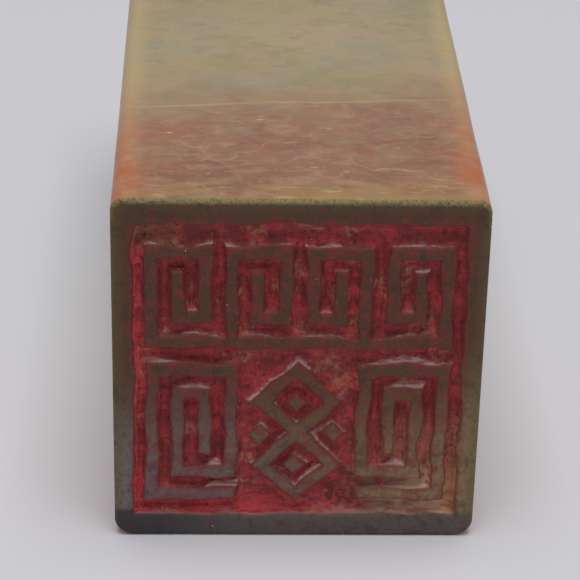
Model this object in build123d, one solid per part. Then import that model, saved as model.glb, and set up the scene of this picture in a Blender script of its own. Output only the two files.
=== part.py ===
"""A hand-carved stone seal stamp that lies on its side, with the red paste left in its carving.

Millimetres. X runs across the printing face, left to right as it is looked at, Y along the stone
from the printing face to the plain end, and Z up. The origin is the middle of the side that the
stone rests on.
"""

from build123d import *

import os

# The stone column
STONE_WIDTH = 25.0
STONE_HEIGHT = 26.0
STONE_LENGTH = 60.0
TOP_EDGE_RADIUS = 0.9
BOTTOM_EDGE_RADIUS = 1.3
END_EDGE_RADIUS = 0.8
FACE_EDGE_BEVEL = 0.2

# The sunk field inside the raised rim of the printing face
SIDE_RIM = 1.4
TOP_RIM = 1.75
BOTTOM_RIM = 1.65
CARVING_DEPTH = 0.9
WALL_LEAN = 0.22

# The raised ornament: a running fret above, and two tall frets beside a lattice below
STROKE_WIDTH = 0.9
SIDE_GROUND = 0.75
TOP_GROUND = 1.65
BOTTOM_GROUND = 1.25
BAND_GAP = 1.2
RUNNING_FRET_HEIGHT = 7.7
HOOK_SPACING = 1.85
LATTICE_STUD = 1.1

# The red paste
FILM_THICKNESS = 0.12
BEAD_WIDTH = 0.5
BEAD_HEIGHT = 0.45
BARE_PATCH_REACH = 7.0
BARE_PATCH_RISE = 3.4

# How far a cutting shape runs past what it cuts, and a root into what carries it
OVERRUN = 0.2

# Columns of upright strokes across the field, and how the frets share them out
COLUMNS = 12
RUNNING_FRETS = 4
RUNNING_FRET_COLUMNS = 3
TALL_FRET_COLUMNS = 4

# Where the lattice's zigzag stands, run by run up the band, as shares of one run's reach
ZIGZAG_SHARES = (0, 1, 0, -1, 0)

# How much of the field's foot the bead fills, from the left
BEAD_END_SHARE = 0.62

FACE_Y = -STONE_LENGTH / 2
FLOOR_Y = FACE_Y + CARVING_DEPTH
FIELD_LEFT = -STONE_WIDTH / 2 + SIDE_RIM
FIELD_RIGHT = STONE_WIDTH / 2 - SIDE_RIM
FIELD_BOTTOM = BOTTOM_RIM
FIELD_TOP = STONE_HEIGHT - TOP_RIM

# Centre lines of the ornament's outermost strokes
FIRST_COLUMN = FIELD_LEFT + SIDE_GROUND + STROKE_WIDTH / 2
LAST_COLUMN = FIELD_RIGHT - SIDE_GROUND - STROKE_WIDTH / 2
COLUMN_PITCH = (LAST_COLUMN - FIRST_COLUMN) / (COLUMNS - 1)
UPPER_TOP = FIELD_TOP - TOP_GROUND - STROKE_WIDTH / 2
UPPER_BOTTOM = UPPER_TOP - RUNNING_FRET_HEIGHT + STROKE_WIDTH
LOWER_TOP = UPPER_BOTTOM - STROKE_WIDTH - BAND_GAP
LOWER_BOTTOM = FIELD_BOTTOM + BOTTOM_GROUND + STROKE_WIDTH / 2
ZIGZAG_REACH = (LOWER_TOP - LOWER_BOTTOM) / (len(ZIGZAG_SHARES) - 1)

# How far a stroke's foot, sunk by the overrun, stands out beyond its top
ROOT_LEAN = WALL_LEAN * (CARVING_DEPTH + OVERRUN) / CARVING_DEPTH


def stone_column():
    """The plain stone: a rounded square section, drawn along Y and eased at both ends."""
    left, right = -STONE_WIDTH / 2, STONE_WIDTH / 2
    outline = Polyline((left, 0), (right, 0), (right, STONE_HEIGHT), (left, STONE_HEIGHT), close=True)
    section = make_face(outline)
    section = fillet(section.vertices().group_by(Axis.Y)[0], BOTTOM_EDGE_RADIUS)
    section = fillet(section.vertices().group_by(Axis.Y)[-1], TOP_EDGE_RADIUS)
    standing = Plane(origin=(0, FACE_Y, 0), x_dir=(1, 0, 0), z_dir=(0, -1, 0))
    column = extrude(standing * section, amount=-STONE_LENGTH)
    column = fillet(column.faces().sort_by(Axis.Y)[-1].edges(), END_EDGE_RADIUS)
    return chamfer(column.faces().sort_by(Axis.Y)[0].edges(), FACE_EDGE_BEVEL)


def leaning_block(left, right, bottom, top, near, far, lean):
    """A block between two upright planes. It grows by lean on each side from near to far."""
    size_x = right - left + 2 * lean
    size_z = top - bottom + 2 * lean
    grown = Wedge(
        size_x, far - near, size_z,
        lean, lean, size_x - lean, size_z - lean,
        align=(Align.CENTER, Align.CENTER, Align.CENTER),
    )
    # A wedge narrows towards its high Y, so it is turned about Z to be narrow at near
    turned = Rot(0, 0, 180) * grown
    return Pos((left + right) / 2, (near + far) / 2, (bottom + top) / 2) * turned


def field_cutter():
    """What the carver takes out: the field, whose walls lean in towards the floor."""
    past_face = WALL_LEAN * OVERRUN / CARVING_DEPTH
    return leaning_block(
        FIELD_LEFT - past_face, FIELD_RIGHT + past_face,
        FIELD_BOTTOM - past_face, FIELD_TOP + past_face,
        FACE_Y - OVERRUN, FLOOR_Y, -(WALL_LEAN + past_face),
    )


def stroke(start, end):
    """One raised stroke between two points (x, z), with square ends and leaning walls."""
    run = Vector(end[0] - start[0], 0, end[1] - start[1])
    half_length = (run.length + STROKE_WIDTH) / 2
    along_x = leaning_block(
        -half_length, half_length, -STROKE_WIDTH / 2, STROKE_WIDTH / 2,
        FACE_Y, FLOOR_Y + OVERRUN, ROOT_LEAN,
    )
    middle = ((start[0] + end[0]) / 2, 0, (start[1] + end[1]) / 2)
    return Plane(origin=middle, x_dir=run, z_dir=run.cross(Vector(0, 1, 0))) * along_x


def strokes_along(points):
    """A stroke for each run of a path of points."""
    return [stroke(start, end) for start, end in zip(points, points[1:])]


def column_x(number):
    """The centre line of one of the columns of upright strokes."""
    return FIRST_COLUMN + number * COLUMN_PITCH


def mirrored(points):
    """The same path on the other side of the stone's middle."""
    return [(-x, z) for x, z in points]


def running_fret(first):
    """One hooked fret of the upper band, which starts at the given column."""
    near, middle, far = (column_x(first + n) for n in range(RUNNING_FRET_COLUMNS))
    return [
        (near, UPPER_BOTTOM), (near, UPPER_TOP), (far, UPPER_TOP),
        (far, UPPER_BOTTOM + HOOK_SPACING), (middle, UPPER_BOTTOM + HOOK_SPACING),
        (middle, UPPER_TOP - HOOK_SPACING),
    ]


def tall_fret():
    """The square spiral at the left of the lower band, from its foot inwards."""
    a, b, c, d = (column_x(n) for n in range(TALL_FRET_COLUMNS))
    low, high = LOWER_BOTTOM, LOWER_TOP
    return [
        (d, low), (a, low), (a, high), (d, high),
        (d, low + HOOK_SPACING), (b, low + HOOK_SPACING), (b, high - HOOK_SPACING),
        (c, high - HOOK_SPACING), (c, low + 2 * HOOK_SPACING),
    ]


def lattice():
    """Two zigzags that cross, between the tall frets, as a path for each."""
    zigzag = [
        (share * ZIGZAG_REACH, LOWER_BOTTOM + step * ZIGZAG_REACH)
        for step, share in enumerate(ZIGZAG_SHARES)
    ]
    return zigzag, mirrored(zigzag)


def lattice_studs():
    """The studs in the lattice's two eyes and beside its crossing, each turned on its corner."""
    half = LATTICE_STUD / 2
    stud = leaning_block(-half, half, -half, half, FACE_Y, FLOOR_Y + OVERRUN, ROOT_LEAN)
    in_the_eyes = [(0, LOWER_BOTTOM + ZIGZAG_REACH), (0, LOWER_TOP - ZIGZAG_REACH)]
    beside = [(side * ZIGZAG_REACH, (LOWER_BOTTOM + LOWER_TOP) / 2) for side in (-1, 1)]
    return [Pos(x, 0, z) * Rot(0, 45, 0) * stud for x, z in in_the_eyes + beside]


def ornament():
    """Every raised stroke of the printing face."""
    paths = [tall_fret(), mirrored(tall_fret()), *lattice()]
    for number in range(RUNNING_FRETS // 2):
        fret = running_fret(number * RUNNING_FRET_COLUMNS)
        paths += [fret, mirrored(fret)]
    paths += [[(column_x(0), UPPER_BOTTOM), (column_x(COLUMNS - 1), UPPER_BOTTOM)]]
    return [one for path in paths for one in strokes_along(path)] + lattice_studs()


def stone_block():
    """The whole stone, with its printing face carved."""
    return stone_column() - field_cutter() + ornament()


def bare_patch():
    """Where the paste has flaked off the floor: a rounded patch in the field's low right corner."""
    corner = Plane(origin=(FIELD_RIGHT, FLOOR_Y, FIELD_BOTTOM), x_dir=(1, 0, 0), z_dir=(0, -1, 0))
    patch = corner * Ellipse(BARE_PATCH_REACH, BARE_PATCH_RISE)
    return extrude(patch, amount=FILM_THICKNESS + OVERRUN, both=True)


def paste_film(stone):
    """The thin skin of dried paste on the carved floor, between the strokes."""
    skin = leaning_block(
        FIELD_LEFT, FIELD_RIGHT, FIELD_BOTTOM, FIELD_TOP,
        FLOOR_Y - FILM_THICKNESS, FLOOR_Y, 0,
    )
    return skin - stone - bare_patch()


def paste_bead(stone, film):
    """The thick paste packed into the foot of the rim's left and bottom walls."""
    foot_left = FIELD_LEFT + WALL_LEAN
    foot_bottom = FIELD_BOTTOM + WALL_LEAN
    foot_top = FIELD_TOP - WALL_LEAN
    bottom_end = foot_left + BEAD_END_SHARE * (FIELD_RIGHT - FIELD_LEFT)

    # The bead's triangle, as how far each corner is from the wall's foot and out from the floor
    wall_back = WALL_LEAN * BEAD_HEIGHT / CARVING_DEPTH
    corners = [(0, 0), (BEAD_WIDTH, 0), (-wall_back, BEAD_HEIGHT)]
    on_left = [(foot_left + away, FLOOR_Y - out, foot_bottom) for away, out in corners]
    on_bottom = [(foot_left, FLOOR_Y - out, foot_bottom + away) for away, out in corners]
    left_section = make_face(Polyline(*on_left, close=True))
    bottom_section = make_face(Polyline(*on_bottom, close=True))
    left_run = extrude(left_section, amount=foot_top - foot_bottom, dir=(0, 0, 1))
    bottom_run = extrude(bottom_section, amount=bottom_end - foot_left, dir=(1, 0, 0))
    return left_run + bottom_run - stone - film


def save(name, part):
    """Writes one node."""
    part.label = name
    export_step(part, os.path.join("parts", name + ".step"))


def main():
    os.makedirs("parts", exist_ok=True)
    stone = stone_block()
    film = paste_film(stone)
    save("stone_block", stone)
    save("paste_film", film)
    save("paste_bead", paste_bead(stone, film))


main()
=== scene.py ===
"""The looks of a hand-carved soapstone seal stamp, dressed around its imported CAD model.

The stone lies on its side with its printing face towards the camera. The ornament is read from the
CAD relief and roughened as a knife leaves it, and red seal paste is laid in the recesses. Sizes in
the classes are millimetres, and meshes are in metres, in the CAD model's own frame.
"""

import logging
import math
from dataclasses import dataclass, field
from enum import Enum
from typing import NamedTuple

import bmesh
import bpy
from mathutils import Matrix, Vector, noise
from mathutils.bvhtree import BVHTree


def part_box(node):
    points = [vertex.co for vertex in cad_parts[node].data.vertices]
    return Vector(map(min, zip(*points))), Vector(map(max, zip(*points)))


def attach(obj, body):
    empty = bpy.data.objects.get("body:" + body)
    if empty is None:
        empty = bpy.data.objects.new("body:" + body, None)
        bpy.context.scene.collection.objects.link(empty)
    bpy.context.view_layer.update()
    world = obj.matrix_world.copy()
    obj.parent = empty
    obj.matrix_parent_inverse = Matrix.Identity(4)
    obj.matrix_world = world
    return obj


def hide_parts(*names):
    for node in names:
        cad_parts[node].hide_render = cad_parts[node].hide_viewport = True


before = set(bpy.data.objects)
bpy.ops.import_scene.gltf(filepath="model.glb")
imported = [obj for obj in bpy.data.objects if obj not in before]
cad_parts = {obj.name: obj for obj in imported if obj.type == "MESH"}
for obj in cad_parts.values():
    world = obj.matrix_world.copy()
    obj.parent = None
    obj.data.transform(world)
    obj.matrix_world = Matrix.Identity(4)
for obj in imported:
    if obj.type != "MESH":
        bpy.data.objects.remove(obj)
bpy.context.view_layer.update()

MM = 0.001
# Without a seed of its own, the noise that moves the strokes would differ at every run
WANDER_SEED = 7
log = logging.getLogger("seal_stamp")


def linear(colour: str) -> tuple[float, float, float, float]:
    """Turns an sRGB hex colour into the linear one that shaders take.

    Args:
        colour: Six hex digits.

    Returns:
        Linear red, green, blue and an alpha of 1.
    """
    shares = [int(colour[n:n + 2], 16) / 255 for n in (0, 2, 4)]
    return (*[s / 12.92 if s <= 0.04045 else ((s + 0.055) / 1.055) ** 2.4 for s in shares], 1.0)


def ease(low: float, high: float, value: float) -> float:
    """Rises smoothly from 0 to 1.

    Args:
        low, high: Where it is 0, and where it is 1. Either may be the larger.
        value: Where it is read.

    Returns:
        The share of the rise.
    """
    share = min(1.0, max(0.0, (value - low) / (high - low)))
    return share * share * (3 - 2 * share)


def unevenness(here: Vector, size: float, seed: float = 0.0) -> float:
    """Smooth noise, for whatever a hand doesn't do evenly.

    Args:
        here: The point, in millimetres.
        size: How long the waves are.
        seed: Moves them to another place.

    Returns:
        A value from -1 to 1, mostly from -0.5 to 0.5.
    """
    return noise.noise(here / size + Vector((0, seed, 0)))


def new_piece(name: str, bm: bmesh.types.BMesh, node: str,
              finish: bpy.types.Material) -> bpy.types.Object:
    """Turns a finished bmesh into a piece that stands for a CAD node.

    Args:
        name: The piece's name.
        bm: Its mesh, in metres, which is freed.
        node: The CAD node that it replaces.
        finish: Its material.

    Returns:
        The new object, riding on the stone's body.
    """
    mesh = bpy.data.meshes.new(name)
    bm.to_mesh(mesh)
    bm.free()
    mesh.polygons.foreach_set("use_smooth", [True] * len(mesh.polygons))
    mesh.materials.append(finish)
    piece = bpy.data.objects.new(name, mesh)
    bpy.context.scene.collection.objects.link(piece)
    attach(piece, "root")
    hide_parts(node)
    log.info("%s: %d faces", name, len(mesh.polygons))
    return piece


class Spot(NamedTuple):
    """One point of the roughened printing face.

    Attributes:
        depth: How far it lies behind the face's plane.
        carved: From 0 on a raised top to 1 on the carved floor.
        wall: How far the nearest wall is, above zero in stone and below it over the ground.
        upward: 1 beside a wall that looks up and is cut flat, 0 beside a steep one.
    """

    depth: float
    carved: float
    wall: float
    upward: float

    @property
    def facet(self) -> float:
        """How much the point is part of a flat-cut wall, 0 out on the ground."""
        return self.upward * ease(-1.0, -0.5, self.wall)


@dataclass
class Relief:
    """The printing face's relief, from the CAD walls, as a hand knife would have left it.

    Attributes:
        stone: The CAD node of the stone.
        floor: How deep the CAD relief is.
        pitch: Spacing of the points of the face.
        top_round: Radius of the stone's two upper long edges.
        bottom_round: Radius of the two lower ones.
        drift: How far strokes wander off their true lines, and over what length.
        shake: The same for the knife's small jumps.
        swell: How much the strokes grow and shrink in width, and over what length.
        lean: Half the wall's width in plan, as the CAD model has it.
        slack: How gently the walls run out into the ground.
        upper_slack: How much more gently walls that look up do, cut with a flatter knife.
        worn: How much the strokes' top edges are rounded off, and how far in.
        furrow: Height, spacing and length of the knife's marks on the ground.
        bevel: Width of the softened edge round the face.
        nick: Depth and size of the nicks in that edge, and how far in they reach.
        tilt: How far a carved wall's normal leans towards the face, least and most.
        looks_up: How far it leans up where a wall begins to count as one that looks up, and where
            it counts fully.
        steeper_above: From where to where along Z such walls get steeper, and by what share.
        foot_cut: From where to where along Z the bottom rim's wall is cut flat, and how flat.
        bow: The ground's depth as a share of the floor's, how much it varies, and over what length.
        low, high: Opposite corners of the stone's box.
        solid: The stone's faces, to look points up in.
        walls: Its carved walls alone.
        spots: The face's points once they are carved, by column and row.
    """

    stone: bpy.types.Object
    floor: float
    pitch: float = 0.1
    top_round: float = 0.9
    bottom_round: float = 1.3
    drift: tuple[float, float] = (0.2, 2.6)
    shake: tuple[float, float] = (0.06, 0.7)
    swell: tuple[float, float] = (0.17, 2.1)
    lean: float = 0.11
    slack: float = 0.2
    upper_slack: float = 0.34
    worn: tuple[float, float] = (0.13, 0.15)
    furrow: tuple[float, float, float] = (0.12, 0.36, 2.4)
    bevel: float = 0.2
    nick: tuple[float, float, float] = (0.4, 0.3, 0.45)
    tilt: tuple[float, float] = (0.1, 0.5)
    looks_up: tuple[float, float] = (0.35, 0.9)
    steeper_above: tuple[float, float, float] = (14.0, 16.0, 0.6)
    foot_cut: tuple[float, float, float] = (3.0, 2.2, 0.5)
    bow: tuple[float, float, float] = (0.9, 0.14, 3.4)
    low: Vector = field(init=False)
    high: Vector = field(init=False)
    solid: BVHTree = field(init=False)
    walls: BVHTree = field(init=False)
    spots: dict[tuple[int, int], Spot] = field(init=False, default_factory=dict)

    def __post_init__(self) -> None:
        """Reads the stone's box and its carved walls."""
        mesh = self.stone.data
        self.low, self.high = (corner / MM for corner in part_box(self.stone.name))
        places = [vertex.co / MM for vertex in mesh.vertices]
        self.solid = BVHTree.FromPolygons(places, [tuple(p.vertices) for p in mesh.polygons])
        # Carved walls lean out towards the face. The stone's sides don't, and its bevel leans far more
        least, most = self.tilt
        leaning = [tuple(p.vertices) for p in mesh.polygons if least < -p.normal.y < most]
        self.walls = BVHTree.FromPolygons(places, leaning)

    def edge_distance(self, x: float, z: float) -> float:
        """How far a point of the square grid is inside the face's outline."""
        return min(x - self.low.x, self.high.x - x, z - self.low.z, self.high.z - z)

    def wall_at(self, x: float, z: float) -> tuple[float, Vector]:
        """Finds the nearest carved wall.

        Args:
            x, z: A point of the face.

        Returns:
            The distance to that wall at mid depth, above zero in stone, and the wall's normal.
        """
        middle = self.low.y + self.floor / 2
        _, normal, _, distance = self.walls.find_nearest(Vector((x, middle, z)))
        hit, *_ = self.solid.ray_cast(Vector((x, self.low.y - self.floor, z)), Vector((0, 1, 0)))
        in_stone = hit is None or hit.y < middle
        return (distance if in_stone else -distance), normal

    def carve(self, x: float, z: float) -> Spot:
        """Carves one point of the face, before the face is smoothed.

        Args:
            x, z: The point, on the face's plane.

        Returns:
            How deep it lies there, and what it is.
        """
        here = Vector((x, 0, z))
        sway = noise.noise_vector(here / self.drift[1]) * self.drift[0]
        sway += noise.noise_vector(here / self.shake[1] + Vector((9, 0, 0))) * self.shake[0]
        wall, normal = self.wall_at(x + sway.x, z + sway.z)
        wall += self.swell[0] * unevenness(here, self.swell[1], 5)

        # Walls that look up are cut with a flatter knife, here and there, and so run out further
        upward = ease(*self.looks_up, normal.z)
        flatter = upward * ease(-0.3, 0.35, unevenness(here, 3.1, 19))
        start, full, share = self.steeper_above
        flatter *= 1 - share * ease(start, full, z)
        start, full, share = self.foot_cut
        flatter = max(flatter, share * upward * ease(start, full, z))
        slack = self.slack * (1 + 0.6 * unevenness(here, 2.2, 17)) + self.upper_slack * flatter
        carved = 1 - math.exp(-max(0.0, self.lean - wall) / slack)

        # The ground keeps the knife's furrows, which run along the walls
        along = x * normal.z - z * normal.x
        height, spacing, length = self.furrow
        furrow = noise.noise(Vector((wall / spacing, 31, along / length)))
        furrow += 0.6 * unevenness(here, 0.32, 43)
        share, change, length = self.bow
        bowed = share + change * unevenness(here, length, 23)
        ground = self.floor * bowed + height * furrow * carved

        # The raised tops are worn round at their edges, and are never quite flat
        rounding = self.worn[0] * math.exp(-max(0.0, wall - self.lean) / self.worn[1])
        rounding += 0.012 * unevenness(here, 1.6, 61)
        return Spot(carved * ground + max(0.0, rounding) * (1 - carved), carved, wall, flatter)

    def edge_loss(self, x: float, z: float, edge: float) -> float:
        """How much the softened edge and its nicks take off the face.

        Args:
            x, z: A point of the face.
            edge: How far it is inside the outline.

        Returns:
            The depth that is lost there. Most nicks are in the upper edge.
        """
        depth, size, reach = self.nick
        here = Vector((x, 0, z))
        pit = unevenness(here, size) + 0.7 * unevenness(here, size / 2.3)
        weight = ease(reach, 0, edge) * (0.3 + 0.7 * ease(self.high.z - 3, self.high.z - 1, z))
        return max(0.0, self.bevel - edge) + depth * weight * max(0.0, pit - 0.12)

    def rounded(self, x: float, z: float) -> tuple[float, float]:
        """Moves a point of the square grid onto the face's rounded outline.

        Args:
            x, z: The point on the square.

        Returns:
            The point inside the rounded outline, which differs near the corners only.
        """
        upper = z > (self.low.z + self.high.z) / 2
        radius = self.top_round if upper else self.bottom_round
        centre_x = math.copysign(self.high.x - radius, x)
        centre_z = self.high.z - radius if upper else self.low.z + radius
        out_x = abs(x) - abs(centre_x)
        out_z = (z - centre_z) if upper else (centre_z - z)
        if out_x <= 0 or out_z <= 0:
            return x, z
        pull = max(out_x, out_z) / math.hypot(out_x, out_z)
        return centre_x + (x - centre_x) * pull, centre_z + (z - centre_z) * pull

    def flat_sheet(self, low: Vector, high: Vector, pitch: float) -> bmesh.types.BMesh:
        """Makes a flat grid on the face's plane, in millimetres, that looks out of the stone.

        Args:
            low, high: Opposite corners of the grid.
            pitch: About how wide its cells are.

        Returns:
            The grid.
        """
        sheet = bmesh.new()
        size, middle = high - low, (high + low) / 2
        place = Matrix.Translation((middle.x, self.low.y, middle.z))
        upright = Matrix.Rotation(math.radians(90), 4, "X")
        bmesh.ops.create_grid(
            sheet, x_segments=round(size.x / pitch), y_segments=round(size.z / pitch),
            size=0.5, matrix=place @ upright @ Matrix.Diagonal((size.x, size.z, 1, 1)),
        )
        return sheet

    def carved_sheet(self) -> bmesh.types.BMesh:
        """Makes the whole printing face as one sheet, in millimetres, and keeps its points.

        Returns:
            The sheet. Its points carry how far the outline is, how deeply they are carved, how
            far the nearest wall is, and how much they are part of a flat-cut wall.
        """
        sheet = self.flat_sheet(self.low, self.high, self.pitch)
        edge_layer = sheet.verts.layers.float.new("edge_mm")
        carved_layer = sheet.verts.layers.float.new("carved")
        wall_layer = sheet.verts.layers.float.new("wall_mm")
        facet_layer = sheet.verts.layers.float.new("facet")
        cells = {}
        for vertex in sheet.verts:
            x, _, z = vertex.co
            cells[vertex] = (round((x - self.low.x) / self.pitch), round((z - self.low.z) / self.pitch))
            edge = self.edge_distance(x, z)
            x, z = self.rounded(x, z)
            spot = self.carve(x, z)
            self.spots[cells[vertex]] = spot
            vertex.co = (x, self.low.y + spot.depth + self.edge_loss(x, z, edge), z)
            vertex[edge_layer] = edge
            vertex[carved_layer] = spot.carved
            vertex[wall_layer] = spot.wall
            vertex[facet_layer] = spot.facet
        inner = [vertex for vertex in sheet.verts if not vertex.is_boundary]
        bmesh.ops.smooth_vert(
            sheet, verts=inner, factor=0.5, use_axis_x=False, use_axis_y=True, use_axis_z=False,
        )
        for vertex, cell in cells.items():
            self.spots[cell] = self.spots[cell]._replace(depth=vertex.co.y - self.low.y)
        return sheet

    def spot(self, x: float, z: float) -> Spot:
        """Reads the kept face between its points.

        Args:
            x, z: A point inside the rim.

        Returns:
            The blend of the four points round it.
        """
        across, up = (x - self.low.x) / self.pitch, (z - self.low.z) / self.pitch
        column, row = math.floor(across), math.floor(up)
        share_x, share_z = across - column, up - row
        corners = [self.spots[column + a, row + b] for b in (0, 1) for a in (0, 1)]
        weights = [u * v for v in (1 - share_z, share_z) for u in (1 - share_x, share_x)]
        return Spot(*(sum(w * value for w, value in zip(weights, values)) for values in zip(*corners)))


@dataclass
class StoneBlock:
    """The stone: its carved face, and sides that were ground flat and rubbed smooth by hand.

    Attributes:
        relief: The printing face.
        first_rings: How far behind the face its first rings of points lie.
        ring_spacing: Length of stone between two of the other rings.
        rub: How far the sides dip where they were rubbed, and over what length.
        end_round: Radius of the edge round the plain end.
        end_steps: Rings in that edge.
    """

    relief: Relief
    first_rings: tuple[float, ...] = (0.6, 0.95, 1.5, 2.4)
    ring_spacing: float = 3.2
    rub: tuple[float, float] = (0.05, 7.0)
    end_round: float = 0.8
    end_steps: int = 5

    def outward(self, x: float, z: float) -> Vector:
        """Finds the direction out of the stone's side.

        Args:
            x, z: A point of its outline.

        Returns:
            The direction, of length 1.
        """
        low, high = self.relief.low, self.relief.high
        radius = self.relief.top_round if z > (low.z + high.z) / 2 else self.relief.bottom_round
        centre = Vector((
            min(high.x - radius, max(low.x + radius, x)), 0,
            min(high.z - radius, max(low.z + radius, z)),
        ))
        return (Vector((x, 0, z)) - centre).normalized()

    def rings(self) -> list[tuple[float, float]]:
        """Places the rings of points along the stone.

        Returns:
            For each ring, its place along Y and how far it is drawn in.
        """
        face, end = self.relief.low.y, self.relief.high.y - self.end_round
        places = [face + back for back in self.first_rings]
        count = round((end - places[-1]) / self.ring_spacing)
        spacing = (end - places[-1]) / count
        places += [places[-1] + spacing * n for n in range(1, count + 1)]
        turns = [math.pi / 2 * n / self.end_steps for n in range(1, self.end_steps + 1)]
        turned = [(end + self.end_round * math.sin(t), self.end_round * (1 - math.cos(t))) for t in turns]
        return [(place, 0.0) for place in places] + turned

    def build(self, finish: bpy.types.Material) -> bpy.types.Object:
        """Draws the face's outline back along the stone and closes the plain end.

        Args:
            finish: The stone's material.

        Returns:
            The piece.
        """
        body = self.relief.carved_sheet()
        edge_layer = body.verts.layers.float["edge_mm"]
        edge = [e for e in body.edges if e.is_boundary]
        outline = {v: (v.co.copy(), self.outward(v.co.x, v.co.z)) for e in edge for v in e.verts}
        depth, length = self.rub
        face = self.relief.low.y
        for place, inset in self.rings():
            made = bmesh.ops.extrude_edge_only(body, edges=edge)["geom"]
            edge = [part for part in made if isinstance(part, bmesh.types.BMEdge) and part.is_boundary]
            moved = {}
            for vertex in (part for part in made if isinstance(part, bmesh.types.BMVert)):
                source = min(
                    (other for e in vertex.link_edges for other in e.verts if other in outline),
                    key=lambda other: (other.co - vertex.co).length_squared,
                )
                moved[vertex] = outline[source]
            for vertex, (start, out) in moved.items():
                here = Vector((start.x, place, start.z))
                dip = depth * ease(-0.5, 0.6, unevenness(here, length)) * ease(face + 1, face + 5, place)
                vertex.co = here - out * (inset + dip)
                vertex[edge_layer] = face - place
            outline = moved
        bmesh.ops.holes_fill(body, edges=edge, sides=0)
        bmesh.ops.recalc_face_normals(body, faces=body.faces)
        bmesh.ops.scale(body, vec=(MM, MM, MM), verts=body.verts)
        return new_piece("carved_stone", body, "stone_block", finish)


class Deposit(Enum):
    """The two ways that paste lies in the carving."""

    FILM = "paste_film"
    BEAD = "paste_bead"


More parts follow.
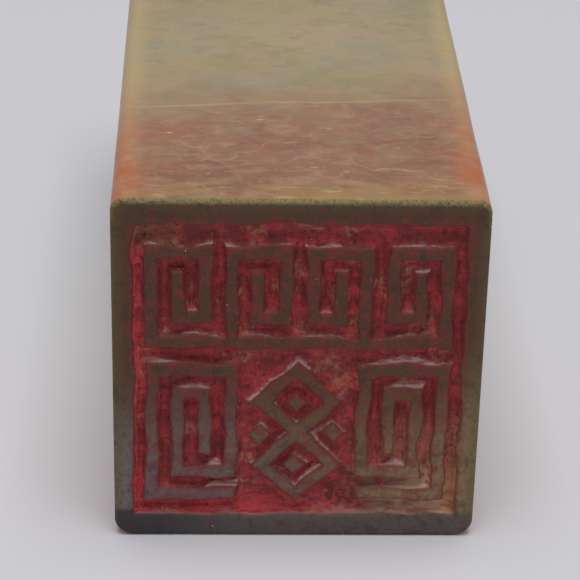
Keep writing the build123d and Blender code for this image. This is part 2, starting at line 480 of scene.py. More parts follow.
@dataclass
class Paste:
    """Dried seal paste on the carved ground, as a closed crust whose thickness varies.

    Attributes:
        relief: The face that it lies on.
        deposit: Which of the two deposits it is.
        pitch: Spacing of its points.
        margin: How far past the carved field it is looked for.
        sunk: How far its underside lies in the stone.
        body: Usual thickness of the film.
        bare_reach: Half width and height of the corner that has flaked bare.
        flaking: How many of those reaches out the film begins to thin, where it is thinned fully,
            and by how much.
        bead: Thickness and width of the bead along the walls.
        bead_end: Where the bead fades out along the bottom wall.
        crease: Angle between faces from which an edge is a sharp one.
        low, high: Opposite corners of the box that the carved floor fills.
    """

    relief: Relief
    deposit: Deposit
    pitch: float = 0.1
    margin: float = 0.4
    sunk: float = 0.12
    body: float = 0.07
    bare_reach: tuple[float, float] = (7.0, 3.4)
    flaking: tuple[float, float, float] = (1.45, 0.85, 0.13)
    bead: tuple[float, float] = (0.3, 0.5)
    bead_end: tuple[float, float] = (0.5, 4.0)
    crease: float = math.radians(65)
    low: Vector = field(init=False)
    high: Vector = field(init=False)

    def __post_init__(self) -> None:
        """Reads the box of the film's CAD node, which fills the carved floor."""
        self.low, self.high = (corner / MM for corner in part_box(Deposit.FILM.value))

    def film_at(self, here: Vector, spot: Spot) -> float:
        """How thick the film is.

        Args:
            here: The point, on the face's plane.
            spot: The carved face there.

        Returns:
            The thickness, below zero where the film has gone.
        """
        aside, above = self.high.x - here.x, here.z - self.low.z
        flaked = math.hypot(aside / self.bare_reach[0], above / self.bare_reach[1])
        flaked += 0.45 * unevenness(here, 1.1, 3)
        flaked += 0.7 * unevenness(here, 0.38, 13)
        start, full, most = self.flaking
        loss = most * ease(start, full, flaked)

        # It fades out raggedly up the walls, and later on those that look up
        reached = spot.carved + 0.14 * unevenness(here, 1.3, 83)
        reached += (0.2 - 0.14 * spot.upward) * unevenness(here, 0.33, 89)
        climb = ease(0.05 + 0.3 * spot.upward, 0.5 + 0.35 * spot.upward, reached)

        # It is lumpy, and thickest along the walls' feet
        lumps = 1 + 0.8 * unevenness(here, 0.9) + 0.5 * unevenness(here, 0.28)
        pooled = 0.07 * math.exp(-((spot.wall + 0.4) / 0.2) ** 2) * ease(-0.3, 0.5, unevenness(here, 1.4))
        # What would be thinner than 0.015 mm is left off
        return (self.body * lumps + pooled) * climb - 0.015 - loss

    def bead_at(self, here: Vector, spot: Spot) -> float:
        """How thick the bead is.

        Args:
            here: The point, on the face's plane.
            spot: The carved face there.

        Returns:
            The thickness, below zero beside the bead.
        """
        depth, width = self.bead
        from_left = (here.x - self.low.x) / (width * (1.2 + 0.7 * unevenness(here, 1.6)))
        from_bottom = (here.z - self.low.z) / (width * (1.0 + 0.6 * unevenness(here, 1.3, 7)))
        from_bottom += 3 * ease(*self.bead_end, here.x)
        swell = max(math.exp(-from_left ** 2), math.exp(-from_bottom ** 2)) - 0.3
        crumbs = 1 + 0.5 * unevenness(here, 0.5) + 0.4 * unevenness(here, 0.2)
        climb = ease(0.1 + 0.3 * spot.upward, 0.5 + 0.4 * spot.upward, spot.carved)
        return depth * swell * crumbs * climb

    def build(self, finish: bpy.types.Material) -> bpy.types.Object:
        """Lays the crust: a sheet over the stone where there is paste, closed by one just under it.

        Args:
            finish: The paste's material.

        Returns:
            The piece.
        """
        # Its grid lies on the stone's own, so that neither pokes through the other between points
        step = self.relief.pitch
        corners = []
        for corner, reach in ((self.low, -self.margin), (self.high, self.margin)):
            across, up = ((corner - self.relief.low)[axis] + reach for axis in (0, 2))
            across, up = (round(reach / step) * step for reach in (across, up))
            corners.append(self.relief.low + Vector((across, 0, up)))
        crust = self.relief.flat_sheet(*corners, self.pitch)
        thick_layer = crust.verts.layers.float.new("thick_mm")
        facet_layer = crust.verts.layers.float.new("facet")
        for vertex in crust.verts:
            x, _, z = vertex.co
            spot = self.relief.spot(x, z)
            thickness = self.film_at if self.deposit is Deposit.FILM else self.bead_at
            # At its borders the crust's top dips into the stone, but not down to its underside
            vertex[thick_layer] = max(thickness(Vector((x, 0, z)), spot), -0.6 * self.sunk)
            vertex[facet_layer] = spot.facet
            vertex.co.y = self.relief.low.y + spot.depth - vertex[thick_layer]
        bare = [f for f in crust.faces if max(v[thick_layer] for v in f.verts) <= 0]
        bmesh.ops.delete(crust, geom=bare, context="FACES")
        # Where two patches touch at one point only, a face goes, so that the crust can be closed
        pinched = [v for v in crust.verts if sum(e.is_boundary for e in v.link_edges) > 2]
        while pinched:
            lowest = [min(v.link_faces, key=lambda f: (*f.calc_center_median(),)) for v in pinched]
            bmesh.ops.delete(crust, geom=list(dict.fromkeys(lowest)), context="FACES")
            pinched = [v for v in crust.verts if sum(e.is_boundary for e in v.link_edges) > 2]

        # The extruded copy of the sheet goes under the stone's surface and closes the crust
        made = bmesh.ops.extrude_face_region(crust, geom=list(crust.faces))["geom"]
        for vertex in (part for part in made if isinstance(part, bmesh.types.BMVert)):
            vertex.co.y += vertex[thick_layer] + self.sunk
        bmesh.ops.recalc_face_normals(crust, faces=crust.faces)
        for edge in crust.edges:
            edge.smooth = edge.calc_face_angle(0) < self.crease
        bmesh.ops.scale(crust, vec=(MM, MM, MM), verts=crust.verts)
        return new_piece(self.deposit.value + "_crust", crust, self.deposit.value, finish)


@dataclass
class Finish:
    """A material in the making: its node tree, and the piece's own coordinates in millimetres.

    Attributes:
        name: The material's name.
        material: The material.
        tree: Its nodes.
        mm: The point that is coloured, in millimetres in the piece's own frame.
    """

    name: str
    material: bpy.types.Material = field(init=False)
    tree: bpy.types.NodeTree = field(init=False)
    mm: bpy.types.NodeSocket = field(init=False)

    def __post_init__(self) -> None:
        """Starts an empty node tree."""
        self.material = bpy.data.materials.new(self.name)
        self.material.use_nodes = True
        self.tree = self.material.node_tree
        self.tree.nodes.clear()
        place = self.add("TexCoord", "Object", {})
        self.mm = self.add("VectorMath", 0, {0: place, 1: (1 / MM,) * 3}, operation="MULTIPLY")

    def add(self, kind: str, output: str | int, inputs: dict, **settings: str) -> bpy.types.NodeSocket:
        """Adds one node.

        Args:
            kind: The node's type, without its ShaderNode prefix.
            output: Name or number of the output that is wanted.
            inputs: Socket names or numbers, each with a value, six hex digits of a colour, or the
                socket that feeds it.
            settings: The node's own settings.

        Returns:
            The wanted output.
        """
        node = self.tree.nodes.new("ShaderNode" + kind)
        for name, value in settings.items():
            setattr(node, name, value)
        for socket, value in inputs.items():
            if isinstance(value, bpy.types.NodeSocket):
                self.tree.links.new(value, node.inputs[socket])
            else:
                node.inputs[socket].default_value = linear(value) if isinstance(value, str) else value
        return node.outputs[output]

    def cloud(self, size: tuple[float, float, float], seed: float, detail: float = 3.0,
              swirl: float = 0.0) -> bpy.types.NodeSocket:
        """A soft cloudy pattern of a real size.

        Args:
            size: The clouds' size along X, Y and Z, in millimetres.
            seed: Moves the pattern to another place.
            detail: How many finer layers it has.
            swirl: How much the clouds are drawn out and curled.

        Returns:
            A value about 0.5, mostly from 0.3 to 0.7.
        """
        place = self.add("Mapping", "Vector", {
            "Vector": self.mm, "Location": (seed, 1.7 * seed, -seed), "Scale": tuple(1 / s for s in size),
        })
        return self.add("TexNoise", "Fac", {
            "Vector": place, "Scale": 1.0, "Detail": detail, "Roughness": 0.55, "Distortion": swirl,
        })

    def ramp(self, value: bpy.types.NodeSocket, start: bpy.types.NodeSocket | float = 0.0,
             full: float = 1.0, low: bpy.types.NodeSocket | float = 0.0,
             high: bpy.types.NodeSocket | float = 1.0, smooth: bool = False) -> bpy.types.NodeSocket:
        """Goes from a low value to a high one while another value goes from start to full.

        Args:
            value: What it follows.
            start, full: Where it is low, and where it is high. Either may be the larger.
            low, high: The two values.
            smooth: Whether it eases in and out.

        Returns:
            The value between the two.
        """
        return self.add("MapRange", "Result", {
            "Value": value, "From Min": start, "From Max": full, "To Min": low, "To Max": high,
        }, interpolation_type="SMOOTHSTEP" if smooth else "LINEAR")

    def lay(self, under: bpy.types.NodeSocket | str, over: bpy.types.NodeSocket | str,
            value: bpy.types.NodeSocket, start: bpy.types.NodeSocket | float, full: float,
            top: bpy.types.NodeSocket | float = 1.0) -> bpy.types.NodeSocket:
        """Lays one colour over another where a value has gone from start to full.

        Args:
            under, over: The two colours.
            value: What decides where the upper one shows.
            start, full: Where it begins to show, and where it shows most. Either may be the larger.
            top: How much it shows there.

        Returns:
            The mixed colour.
        """
        mask = self.ramp(value, start, full, high=top, smooth=True)
        # The mixing node takes its two colours at sockets 6 and 7, and gives the mixed one at 2
        return self.add("Mix", 2, {0: mask, 6: under, 7: over}, data_type="RGBA")

    def lens(self, size: tuple[float, float, float], seed: float) -> bpy.types.NodeSocket:
        """Scattered lens-shaped flecks, one in each cell of the given size, at random places.

        Args:
            size: The cells' size along X, Y and Z, in millimetres, which the flecks share.
            seed: Moves the pattern to another place.

        Returns:
            The distance from the nearest fleck's middle, as a share of the cell.
        """
        place = self.add("Mapping", "Vector", {
            "Vector": self.mm, "Location": (seed, 1.3 * seed, -seed), "Scale": tuple(1 / s for s in size),
        })
        return self.add("TexVoronoi", "Distance", {"Vector": place, "Scale": 1.0})

    def close(self, shader_values: dict) -> bpy.types.Material:
        """Adds the surface shader and the output.

        Args:
            shader_values: The shader's sockets, each with a value or the socket that feeds it.

        Returns:
            The finished material.
        """
        surface = self.add("BsdfPrincipled", "BSDF", shader_values)
        output = self.tree.nodes.new("ShaderNodeOutputMaterial")
        self.tree.links.new(surface, output.inputs["Surface"])
        return self.material


class Mottle(NamedTuple):
    """One cloudy colour in the stone.

    Attributes:
        colour: Its colour.
        size: The clouds' size along X, Y and Z, in millimetres.
        seed: Moves the clouds to another place.
        start: Where in the cloud it begins to show.
        full: Where it shows most.
        top: How much it shows there.
        swirl: How much the clouds are curled.
    """

    colour: str
    size: tuple[float, float, float]
    seed: float
    start: float
    full: float
    top: float
    swirl: float


class FacePoint(NamedTuple):
    """What the stone's material knows of a point of the printing face.

    Attributes:
        x, z: Its place, in millimetres.
        edge: How far it is inside the face's outline, in millimetres, below zero behind the face.
        carved: From 0 on a raised top to 1 on the carved floor.
        wall: How far the nearest carved wall is, in millimetres, below zero over the ground.
        facet: How much it is part of a flat-cut wall.
    """

    x: bpy.types.NodeSocket
    z: bpy.types.NodeSocket
    edge: bpy.types.NodeSocket
    carved: bpy.types.NodeSocket
    wall: bpy.types.NodeSocket
    facet: bpy.types.NodeSocket


class Vein(NamedTuple):
    """One set of fine veins in the stone.

    Attributes:
        colour: Their colour.
        lean: The direction that they are crossed along.
        apart: Half the distance between two of them, in millimetres.
        width: Half their width, in millimetres.
        bend: How far they bend aside, in millimetres.
        bend_size: How long a bend is, in millimetres.
        seed: Moves them to another place.
        start: The level along Y where they begin to show.
        full: Where they show most.
        top: How much they show there.
    """

    colour: str
    lean: tuple[float, float, float]
    apart: float
    width: float
    bend: float
    bend_size: float
    seed: float
    start: float
    full: float
    top: float


@dataclass(frozen=True)
class Soapstone:
    """Polished soapstone: bedded red-brown and olive stone, waxy and a little translucent.

    The bedding runs across the stone, so its colours change along Y. Handling and paste have darkened the
    printing face, while the carved ground is stained red. Light on the long edges, the face's outline and its
    flat-cut walls is painted into the colour.

    Attributes:
        beds: The stone's base colours, each with the level along Y where it is reached.
        red_mottles: Clouds in the red-brown bed.
        olive_mottles: Clouds in the olive one.
        rear_mottles: Wider clouds towards the plain end.
        mottles: Clouds through all of it.
        veins: Pale veins in the red-brown bed, and brown ones towards the plain end.
    """

    beds: tuple[tuple[float, str], ...] = (
        (-30.0, "a47c54"), (-28.0, "a47c54"), (-26.0, "9a6f56"), (-18.0, "9c715a"),
        (-13.0, "a68869"), (-7.5, "ac9873"), (0.0, "b09f7b"), (9.0, "a8976f"),
        (15.0, "a18a68"), (21.0, "a89672"), (30.0, "ad9f7c"),
    )
    red_mottles: tuple[Mottle, ...] = (
        Mottle("9c8263", (5.0, 4.2, 5.0), 3.0, 0.5, 0.64, 0.65, 0.6),
        Mottle("8c6049", (4.6, 3.2, 4.6), 11.0, 0.46, 0.64, 0.65, 0.5),
        Mottle("ab6a48", (4.2, 3.4, 4.2), 23.0, 0.52, 0.68, 0.6, 0.5),
        Mottle("b48a6c", (2.6, 1.9, 2.6), 31.0, 0.5, 0.7, 0.55, 1.2),
        Mottle("7a5444", (2.2, 1.5, 2.2), 43.0, 0.54, 0.74, 0.35, 0.8),
        Mottle("ba967a", (3.0, 1.4, 3.0), 57.0, 0.54, 0.72, 0.35, 1.4),
        Mottle("caa58c", (1.8, 0.8, 1.8), 61.0, 0.58, 0.74, 0.35, 1.8),
    )
    olive_mottles: tuple[Mottle, ...] = (
        Mottle("999783", (7.5, 6.0, 7.5), 37.0, 0.46, 0.66, 0.6, 0.3),
        Mottle("9a9068", (6.4, 5.0, 6.4), 47.0, 0.48, 0.68, 0.5, 0.3),
        Mottle("b29880", (4.4, 2.6, 4.4), 53.0, 0.48, 0.7, 0.5, 0.3),
        Mottle("87786a", (3.0, 1.4, 3.0), 59.0, 0.56, 0.76, 0.4, 0.3),
    )
    rear_mottles: tuple[Mottle, ...] = (
        Mottle("8d6f58", (13.0, 6.0, 13.0), 121.0, 0.46, 0.64, 0.65, 0.8),
        Mottle("8f8f7c", (10.0, 6.0, 10.0), 127.0, 0.48, 0.62, 0.6, 0.6),
        Mottle("bfae8c", (7.0, 4.0, 7.0), 131.0, 0.52, 0.66, 0.5, 0.8),
    )
    mottles: tuple[Mottle, ...] = (
        Mottle("84684f", (1.6, 0.9, 1.5), 67.0, 0.5, 0.76, 0.26, 1.0),
        Mottle("cfae90", (1.5, 0.8, 1.4), 73.0, 0.52, 0.78, 0.24, 1.0),
    )

    veins: tuple[Vein, ...] = (
        Vein("c6a082", (0.22, 1.0, 0.12), 2.6, 0.2, 5.0, 7.0, 151.0, -13.0, -18.0, 0.55),
        Vein("c09c74", (-0.3, 0.9, 0.2), 3.7, 0.16, 5.0, 6.0, 157.0, -12.0, -18.0, 0.5),
        Vein("78604a", (0.55, 0.3, 0.8), 6.5, 0.22, 7.0, 9.0, 137.0, 6.0, 13.0, 0.45),
        Vein("78604a", (-0.35, 0.75, 0.6), 9.0, 0.22, 7.0, 9.0, 143.0, 6.0, 13.0, 0.45),
    )

    def bedded(self, f: Finish) -> bpy.types.NodeSocket:
        """Colours the stone all through, as it is where nothing has stained it.

        Args:
            f: The finish.

        Returns:
            The colour.
        """
        bed = f.add("VectorMath", "Value", {0: f.mm, 1: (-0.083, 1.0, 0.03)}, operation="DOT_PRODUCT")
        drift = f.ramp(f.cloud((8, 6, 8), 3.1), low=-4.0, high=4.0)
        level = f.add("Math", 0, {0: bed, 1: drift}, operation="ADD")
        colour = self.beds[0][1]
        for (start, _), (full, bed_colour) in zip(self.beds, self.beds[1:]):
            colour = f.lay(colour, bed_colour, level, start, full)

        in_red = f.ramp(level, -9.0, -17.0, smooth=True)
        in_olive = f.add("Math", 0, {0: 1.0, 1: in_red}, operation="SUBTRACT")
        in_rear = f.ramp(level, 6.0, 14.0)
        regions = ((in_red, self.red_mottles), (in_olive, self.olive_mottles), (in_rear, self.rear_mottles))
        for region, mottles in regions:
            for m in mottles:
                top = f.add("Math", 0, {0: region, 1: m.top}, operation="MULTIPLY")
                colour = f.lay(colour, m.colour, f.cloud(m.size, m.seed, swirl=m.swirl), m.start, m.full, top)
        for m in self.mottles:
            colour = f.lay(colour, m.colour, f.cloud(m.size, m.seed, swirl=m.swirl), m.start, m.full, m.top)

        # Pale flecks and yellow flakes lie in the bedding, and the last of it is ochre
        shown = f.ramp(f.cloud((2.4, 2.4, 2.4), 65.0), 0.54, 0.62, high=in_red)
        colour = f.lay(colour, "dcb498", f.lens((1.9, 0.7, 1.9), 5.0), 0.2, 0.06, shown)
        flakes = f.ramp(level, -25.0, -27.5, high=0.7)
        colour = f.lay(colour, "b28e58", f.cloud((3.6, 1.2, 3.6), 79.0), 0.5, 0.68, flakes)
        colour = f.lay(colour, "c6a868", f.cloud((2.4, 0.7, 2.4), 69.0, 1.5), 0.62, 0.7, flakes)
        colour = f.lay(colour, "a68452", bed, -27.6, -29.4, 0.7)
        for vein in self.veins:
            colour = self.vein(f, colour, bed, vein)
        return self.edged(f, colour, bed)

    def vein(self, f: Finish, colour: bpy.types.NodeSocket, bed: bpy.types.NodeSocket,
             vein: Vein) -> bpy.types.NodeSocket:
        """Lays one set of fine veins, which are thin bent sheets that stand in the stone side by side.

        Args:
            f: The finish.
            colour: The stone's colour so far.
            bed: The level of the bedding.
            vein: What the veins are like.

        Returns:
            The colour.
        """
        sheet = f.add("VectorMath", "Value", {0: f.mm, 1: vein.lean}, operation="DOT_PRODUCT")
        bend = f.ramp(f.cloud((vein.bend_size,) * 3, vein.seed, 4.0), low=-vein.bend, high=vein.bend)
        sheet = f.add("Math", 0, {0: sheet, 1: bend}, operation="ADD")
        apart = f.add("Math", 0, {0: sheet, 1: vein.apart}, operation="PINGPONG")
        strength = f.ramp(f.cloud((0.6 * vein.bend_size,) * 3, vein.seed + 3.0), 0.42, 0.62, high=vein.top)
        shown = f.ramp(bed, vein.start, vein.full, high=strength)
        return f.lay(colour, vein.colour, apart, vein.width, 0.1 * vein.width, shown)

    def edged(self, f: Finish, colour: bpy.types.NodeSocket,
              bed: bpy.types.NodeSocket) -> bpy.types.NodeSocket:
        """Lays the one long pale seam over the stone, and the painted glow of its long edges.

        Args:
            f: The finish.
            colour: The stone's colour so far.
            bed: The level of the bedding.

        Returns:
            The colour.
        """
        wander = f.ramp(f.cloud((8, 8, 8), 71.0), low=12.4, high=13.8)
        seam = f.add("Math", 0, {0: bed, 1: wander}, operation="ADD")
        seam = f.add("Math", 0, {0: seam}, operation="ABSOLUTE")
        shown = f.ramp(f.cloud((4.0, 4.0, 4.0), 77.0), 0.34, 0.6, low=0.15, high=0.7)
        colour = f.lay(colour, "bfa07e", seam, 0.26, 0.04, shown)

        # The pale long edges and their orange glow are painted light: light that gets out again where the
        # stone is thin to it. How far out a point is from the stone's middle, across and up together, is
        # greatest there
        middle = f.add("VectorMath", 0, {0: f.mm, 1: (0.0, 0.0, 13.0)}, operation="SUBTRACT")
        apart = f.add("VectorMath", 0, {0: middle}, operation="ABSOLUTE")
        out = f.add("VectorMath", "Value", {0: apart, 1: (1.0, 0.0, 1.0)}, operation="DOT_PRODUCT")
        painted_edge_light = f.lay("cbb07c", "cc9e74", bed, -6.0, -14.0)
        colour = f.lay(colour, painted_edge_light, out, 23.2, 24.8, 0.46)
        near_edge = f.ramp(out, 22.3, 25.0, high=0.9, smooth=True)
        glow = f.ramp(bed, -14.0, -24.0, high=near_edge)
        return f.lay(colour, "ba6640", f.cloud((3.4, 2.4, 3.4), 83.0), 0.32, 0.6, glow)

    def stained_and_lit(self, f: Finish, colour: bpy.types.NodeSocket) -> bpy.types.NodeSocket:
        """Darkens the printing face with handling, reddens its carving, and paints light on its edges and
        flat-cut walls.

        Args:
            f: The finish.
            colour: The stone's own colour.

        Returns:
            The colour.
        """
        x, _, z = (f.add("SeparateXYZ", n, {0: f.mm}) for n in range(3))
        here = FacePoint(x, z, *(
            f.add("Attribute", "Fac", {}, attribute_name=name)
            for name in ("edge_mm", "carved", "wall_mm", "facet")
        ))
        on_stroke = f.ramp(here.edge, 0.7, 1.3)
        face = self.smeared(f, self.handled_and_edge_lit(f, here, on_stroke), here, on_stroke)
        colour = f.lay(colour, face, here.edge, -0.12, 0.06)
        colour = self.chipped_and_highlit(f, colour, here)
        return f.lay(colour, self.recessed(f, here), here.carved, 0.05, 0.25)

    def handled_and_edge_lit(self, f: Finish, here: FacePoint, on_stroke: bpy.types.NodeSocket) -> bpy.types.NodeSocket:
        """Colours the face's uncarved stone: dark brown above, olive at the right, grey low at the left, and
        painted light along its outline.

        Args:
            f: The finish.
            here: The point of the face.
            on_stroke: 0 on the rim's outer part, 1 on the strokes.

        Returns:
            The colour.
        """
        face = f.lay("563923", "7c6544", here.z, 15.0, 5.0)
        grey = f.lay("563923", "7e756f", here.z, 14.0, 4.0)
        face = f.lay(face, grey, here.x, 3.0, -9.0)
        olive = f.ramp(here.x, 9.5, 12.4)
        face = f.lay(face, "947f56", here.z, 17.0, 6.0, olive)
        low_right = f.ramp(here.x, 2.0, 7.0)
        face = f.lay(face, "907856", here.z, 11.0, 4.5, low_right)
        # A lighter olive strip just inside the outline is painted light, for light that comes through the
        # stone's thin edge
        face = f.lay(face, "6a5a36", here.edge, 1.1, 0.1, 0.6)
        on_left = f.ramp(here.x, 4.0, -6.0, high=on_stroke)
        face = f.lay(face, "745c5e", here.z, 9.0, 4.0, on_left)

        # The bottom rim is nearly black, most of all at its left end
        face = f.lay(face, "56504f", here.z, 2.3, 1.5, 0.9)
        low_left = f.ramp(here.x, -4.0, -9.5)
        face = f.lay(face, "34363e", here.z, 2.4, 1.9, low_left)
        face = f.lay(face, "3c2a1e", f.cloud((0.9, 0.9, 0.9), 87.0), 0.5, 0.7, 0.5)
        return f.lay(face, "463626", f.cloud((0.26, 0.3, 0.4), 103.0, 4.0), 0.46, 0.68, 0.4)

    def smeared(self, f: Finish, face: bpy.types.NodeSocket, here: FacePoint,
                on_stroke: bpy.types.NodeSocket) -> bpy.types.NodeSocket:
        """Rubs red into the tops of the strokes, most at their edges, and less into the rim.

        Args:
            f: The finish.
            face: The colour so far.
            here: The point of the face.
            on_stroke: 0 on the rim's outer part, 1 on the strokes.

        Returns:
            The colour.
        """
        above = f.ramp(here.z, 1.7, 2.7, high=0.85)
        middle = f.ramp(here.z, 9.0, 15.0, low=0.24, high=0.46)
        near_wall = f.ramp(here.wall, 0.8, 0.1, low=middle, high=above)
        smear = f.ramp(on_stroke, low=0.08, high=near_wall)
        face = f.lay(face, "842c2c", f.cloud((0.7, 0.5, 0.6), 89.0, 6.0), 0.42, 0.64, smear)
        rimmed = f.ramp(here.z, 1.6, 2.6, high=0.6)
        face = f.lay(face, "742c2a", here.wall, 0.34, 0.1, rimmed)
        return f.lay(face, "9c4a48", f.cloud((0.2, 0.2, 0.2), 107.0), 0.56, 0.74, smear)

    def chipped_and_highlit(self, f: Finish, colour: bpy.types.NodeSocket, here: FacePoint) -> bpy.types.NodeSocket:
        """Lays the rubbed upper edge with its painted highlight, its dark nicks and a few pale specks over
        the face.

        Args:
            f: The finish.
            colour: The colour so far.
            here: The point of the face.

        Returns:
            The colour.
        """
        upper = f.ramp(here.z, 24.0, 25.6)
        bevel = f.add("Math", 0, {0: here.edge}, operation="ABSOLUTE")
        # The upper edge is lighter olive: rubbed stone, with a painted highlight where the edge looks up to
        # the light
        colour = f.lay(colour, "85774e", bevel, 0.36, 0.04, upper)
        specks = f.ramp(here.edge, 0.2, 0.4, high=0.8)
        colour = f.lay(colour, "d6ccb8", f.lens((1.7, 1.7, 1.7), 13.0), 0.036, 0.02, specks)
        pits = f.ramp(here.edge, 0.75, 0.25, high=upper)
        pits = f.ramp(here.edge, -0.5, -0.1, high=pits)
        pits = f.add("Math", 0, {0: pits, 1: 0.75}, operation="MULTIPLY")
        return f.lay(colour, "40321f", f.cloud((0.2, 0.2, 0.2), 97.0, 4.0), 0.44, 0.7, pits)

    def recessed(self, f: Finish, here: FacePoint) -> bpy.types.NodeSocket:
        """Colours the carving's walls and floor, which show where the paste has gone, with a painted
        highlight on flat-cut walls.

        Args:
            f: The finish.
            here: The point of the face.

        Returns:
            The colour.
        """
        # Flat-cut walls are pale pink streaked with red: bare stone, lightened by a painted highlight where
        # they look up to the light. The rest are dark red
        lit = f.lay("c29a96", "92484a", f.cloud((1.1, 0.5, 0.3), 93.0, 5.0), 0.42, 0.68)
        lit = f.lay(lit, "9c4e4e", here.z, 3.2, 2.5, 0.8)
        wall_stain_and_highlight = f.lay("702a28", lit, here.facet, 0.05, 0.4)
        floor_stain = f.lay("7a2a2a", "8e5442", f.cloud((1.2, 1.2, 1.0), 91.0), 0.5, 0.66)
        foot = f.ramp(here.facet, 0.0, 0.5, low=0.3, high=0.65)
        stain_and_highlight = f.lay(wall_stain_and_highlight, floor_stain, here.carved, foot, 0.95)

        # In the bare low right corner the stone is tan, greyer to the left, and still stained
        bare = f.ramp(here.x, 3.5, 7.5)
        tan = f.lay("c8a482", "b08260", f.cloud((1.4, 1.4, 0.4), 95.0), 0.45, 0.7)
        tan = f.lay(tan, "9a8c74", here.x, 9.2, 6.6, 0.75)
        tan = f.lay(tan, "98423c", f.cloud((1.5, 1.2, 0.5), 105.0, 6.0), 0.47, 0.62, 0.8)
        tan = f.lay(tan, "a86a3e", here.x, 10.1, 10.9, 0.65)
        return f.lay(stain_and_highlight, tan, here.z, 8.0, 4.5, bare)

    def material(self) -> bpy.types.Material:
        """Builds the material.

        Returns:
            The material.
        """
        # Soapstone rubbed smooth by hand: a soft waxy sheen, clouded by touch, and light that
        # sinks a little way in. The face, rubbed on a flat stone, is duller
        f = Finish("polished_soapstone")
        colour = self.stained_and_lit(f, self.bedded(f))
        rough = f.ramp(f.cloud((0.8, 0.8, 0.8), 101.0), low=0.26, high=0.5)
        rubbed = f.cloud((0.3, 3.0, 0.3), 141.0, 2.0)
        rough = f.ramp(rubbed, 0.6, 0.72, low=rough, high=0.5)
        edge = f.add("Attribute", "Fac", {}, attribute_name="edge_mm")
        rough = f.ramp(edge, -0.4, 0.1, low=rough, high=0.6)
        # The stone's grain is under 0.1 mm. It is drawn three times as coarse, to show
        grain = f.cloud((0.3, 0.3, 0.3), 111.0, 4.0)
        bump = f.add("Bump", "Normal", {"Height": grain, "Distance": 0.02 * MM, "Strength": 0.6})
        return f.close({
            "Base Color": colour, "Roughness": rough, "IOR": 1.5, "Specular IOR Level": 0.4, "Normal": bump,
            "Subsurface Weight": 0.12, "Subsurface Radius": (1.0, 0.45, 0.2), "Subsurface Scale": 1.2 * MM,
        })


@dataclass(frozen=True)
class SealPaste:
    """Dried seal paste: red pigment in oil and plant fibre, crumbly and nearly matt.

    Attributes:
        bright: Where it is thick or fresh.
        usual: Where it is of its usual thickness.
        pit: In its pits and cracks.
    """

    bright: str = "c64046"
    usual: str = "983437"
    pit: str = "4a1a1a"

    def coloured(self, f: Finish) -> bpy.types.NodeSocket:
        """Colours the paste by its thickness and its place.

        Args:
            f: The finish.

        Returns:
            The colour.
        """
        thick, facet = (
            f.add("Attribute", "Fac", {}, attribute_name=name) for name in ("thick_mm", "facet")
        )
        x, _, z = (f.add("SeparateXYZ", n, {0: f.mm}) for n in range(3))

        # Where it is thin the stone shows through: pink on flat-cut walls, lightened there by a painted
        # highlight, and tan low on the right
        thin = f.lay("74302c", "b07672", facet, 0.1, 0.5)
        corner = f.ramp(x, 2.5, 6.5)
        thin = f.lay(thin, "ac8464", z, 9.5, 5.0, corner)
        colour = f.lay(thin, self.usual, thick, 0.0, 0.055)
        colour = f.lay(colour, self.bright, thick, 0.06, 0.2)
        colour = f.lay(colour, self.bright, f.cloud((2.0, 2.0, 1.0), 5.0, 5.0, 0.8), 0.46, 0.64, 0.8)
        colour = f.lay(colour, self.bright, z, 3.8, 2.6, 0.6)
        faded = f.ramp(x, 3.0, 8.0, high=0.75)
        colour = f.lay(colour, "bc765e", z, 11.0, 5.0, faded)
        worn_off = f.ramp(x, -6.5, -10.0, high=0.6)
        colour = f.lay(colour, "7f6642", z, 21.6, 23.4, worn_off)
        return self.speckled(f, colour, z)

    def speckled(self, f: Finish, colour: bpy.types.NodeSocket,
                 z: bpy.types.NodeSocket) -> bpy.types.NodeSocket:
        """Breaks the colour up with pits, crumbs, pale specks, streaks, and a pink-red grain that is partly
        painted glints.

        Args:
            f: The finish.
            colour: The colour so far.
            z: The height of the point.

        Returns:
            The colour.
        """
        colour = f.lay(colour, self.pit, f.cloud((0.4, 0.4, 0.34), 15.0, 4.0), 0.54, 0.7, 0.7)
        colour = f.lay(colour, "642a28", f.cloud((1.7, 1.4, 1.2), 75.0, 5.0), 0.5, 0.68, 0.5)
        crumbs = f.ramp(f.cloud((2.4, 2.4, 2.4), 65.0), 0.54, 0.64, high=0.75)
        colour = f.lay(colour, "ab8060", f.cloud((0.4, 0.4, 0.34), 55.0, 4.0), 0.44, 0.62, crumbs)
        colour = f.lay(colour, "d8ccb8", f.lens((1.7, 1.7, 1.7), 17.0), 0.036, 0.02, 0.8)
        # The streaks lie flat near the bottom rim and stand upright above it
        for size, seed, low, high in (((1.8, 1.0, 0.3), 35.0, 5.0, 3.5), ((0.3, 1.0, 1.8), 39.0, 3.5, 5.0)):
            shown = f.ramp(z, low, high, high=0.55)
            colour = f.lay(colour, "6e2224", f.cloud(size, seed, 4.0), 0.5, 0.7, shown)
        # Pink-red grain: the paste's own grain, and painted glints of its granular sheen
        return f.lay(colour, "c8565a", f.cloud((0.24, 0.24, 0.24), 45.0), 0.58, 0.74, 0.5)

    def material(self) -> bpy.types.Material:
        """Builds the material.

        Returns:
            The material.
        """
        # Oil and fibre dried to a crumbly skin: hardly any sheen, and a rough, pitted surface.
        # Its fibre ends are under 0.1 mm, and are drawn twice as coarse, to show
        f = Finish("dried_seal_paste")
        fibre = f.cloud((0.24, 0.24, 0.2), 25.0, 4.0)
        bump = f.add("Bump", "Normal", {"Height": fibre, "Distance": 0.12 * MM})
        return f.close({
            "Base Color": self.coloured(f), "Roughness": 0.62, "Specular IOR Level": 0.4, "Normal": bump,
        })


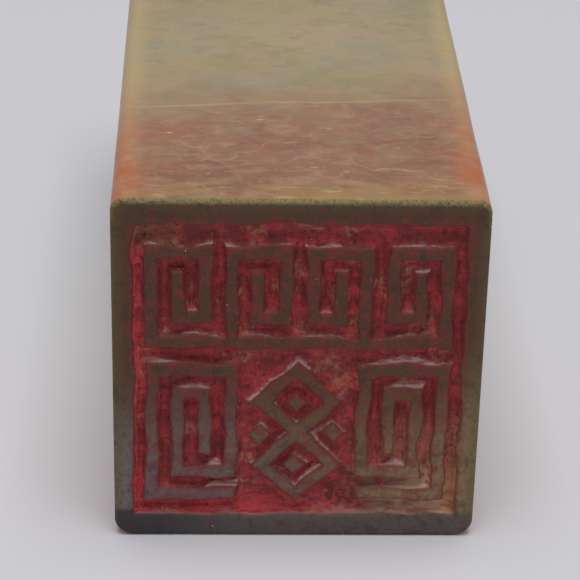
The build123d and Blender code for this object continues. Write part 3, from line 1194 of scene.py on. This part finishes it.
@dataclass(frozen=True)
class Studio:
    """The camera of the photograph, a plain pale floor and soft light.

    Attributes:
        camera_at: Where the camera stands.
        pitch, yaw, roll: How far it looks down, to the right, and is tipped, in degrees.
        focal_px: Its focal length in pixels of the photograph.
        photo_px: Width of the photograph.
        sensor_width: Width of the camera's sensor.
        floor_size: Side of the floor.
        floor_colour: Its colour.
        lamp_at: Where the softbox hangs.
        lamp_size: Its side.
        lamp_watts: Its power.
        sky_colour: Colour of the pale surrounding.
        sky_strength: How bright the surrounding is.
    """

    camera_at: tuple[float, float, float] = (-5.7, -168.2, 93.0)
    pitch: float = 27.99
    yaw: float = 2.09
    roll: float = 1.33
    focal_px: float = 2364.0
    photo_px: float = 580.0
    sensor_width: float = 36.0
    floor_size: float = 3000.0
    floor_colour: str = "e1e0e4"
    lamp_at: tuple[float, float, float] = (6.0, -80.0, 520.0)
    lamp_size: float = 300.0
    lamp_watts: float = 1.62
    sky_colour: str = "eceef2"
    sky_strength: float = 0.355

    def camera(self) -> None:
        """Puts the camera at the photograph's place."""
        pitch, yaw, roll = (math.radians(angle) for angle in (self.pitch, self.yaw, self.roll))
        ahead = Vector((math.sin(yaw) * math.cos(pitch), math.cos(yaw) * math.cos(pitch), -math.sin(pitch)))
        right = Vector((math.cos(yaw), -math.sin(yaw), 0))
        up = right.cross(ahead)
        tipped_right = math.cos(roll) * right + math.sin(roll) * up
        tipped_up = math.cos(roll) * up - math.sin(roll) * right
        data = bpy.data.cameras.new("camera")
        data.sensor_width = self.sensor_width
        data.lens = self.focal_px / self.photo_px * self.sensor_width
        data.clip_start = 1 * MM
        camera = bpy.data.objects.new("camera", data)
        turned = Matrix((tipped_right, tipped_up, -ahead)).transposed().to_4x4()
        camera.matrix_world = Matrix.Translation(Vector(self.camera_at) * MM) @ turned
        bpy.context.scene.collection.objects.link(camera)
        bpy.context.scene.camera = camera

    def floor(self) -> None:
        """Lays the pale floor."""
        sheet = bmesh.new()
        bmesh.ops.create_grid(sheet, x_segments=1, y_segments=1, size=self.floor_size / 2 * MM)
        mesh = bpy.data.meshes.new("floor")
        sheet.to_mesh(mesh)
        sheet.free()
        # Uncoated card: pale and without a sheen, so that it only takes the stone's soft shadow
        mesh.materials.append(Finish("pale_card").close({"Base Color": self.floor_colour, "Roughness": 0.7}))
        floor = bpy.data.objects.new("floor", mesh)
        bpy.context.scene.collection.objects.link(floor)

    def light(self) -> None:
        """Hangs one soft square lamp that looks at the stone, in an even pale surrounding."""
        data = bpy.data.lights.new("softbox", "AREA")
        data.size = self.lamp_size * MM
        data.energy = self.lamp_watts
        lamp = bpy.data.objects.new("softbox", data)
        lamp.location = Vector(self.lamp_at) * MM
        lamp.rotation_mode = "QUATERNION"
        lamp.rotation_quaternion = (-lamp.location).to_track_quat("-Z", "Y")
        bpy.context.scene.collection.objects.link(lamp)
        world = bpy.data.worlds.new("room")
        world.use_nodes = True
        sky = world.node_tree.nodes["Background"].inputs
        sky["Color"].default_value = linear(self.sky_colour)
        sky["Strength"].default_value = self.sky_strength
        bpy.context.scene.world = world
        bpy.context.scene.view_settings.view_transform = "Standard"

    def build(self) -> None:
        """Sets the whole stage."""
        self.camera()
        self.floor()
        self.light()


def main() -> None:
    """Builds and dresses every piece."""
    logging.basicConfig(level=logging.INFO, format="%(name)s: %(message)s")
    noise.seed_set(WANDER_SEED)
    floor_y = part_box(Deposit.FILM.value)[1].y
    relief = Relief(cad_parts["stone_block"], (floor_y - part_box("stone_block")[0].y) / MM)
    StoneBlock(relief).build(Soapstone().material())
    paste = SealPaste().material()
    Paste(relief, Deposit.FILM).build(paste)
    # The bead is narrow, so its points are closer
    Paste(relief, Deposit.BEAD, pitch=0.05).build(paste)
    Studio().build()


if __name__ == "__main__":
    main()
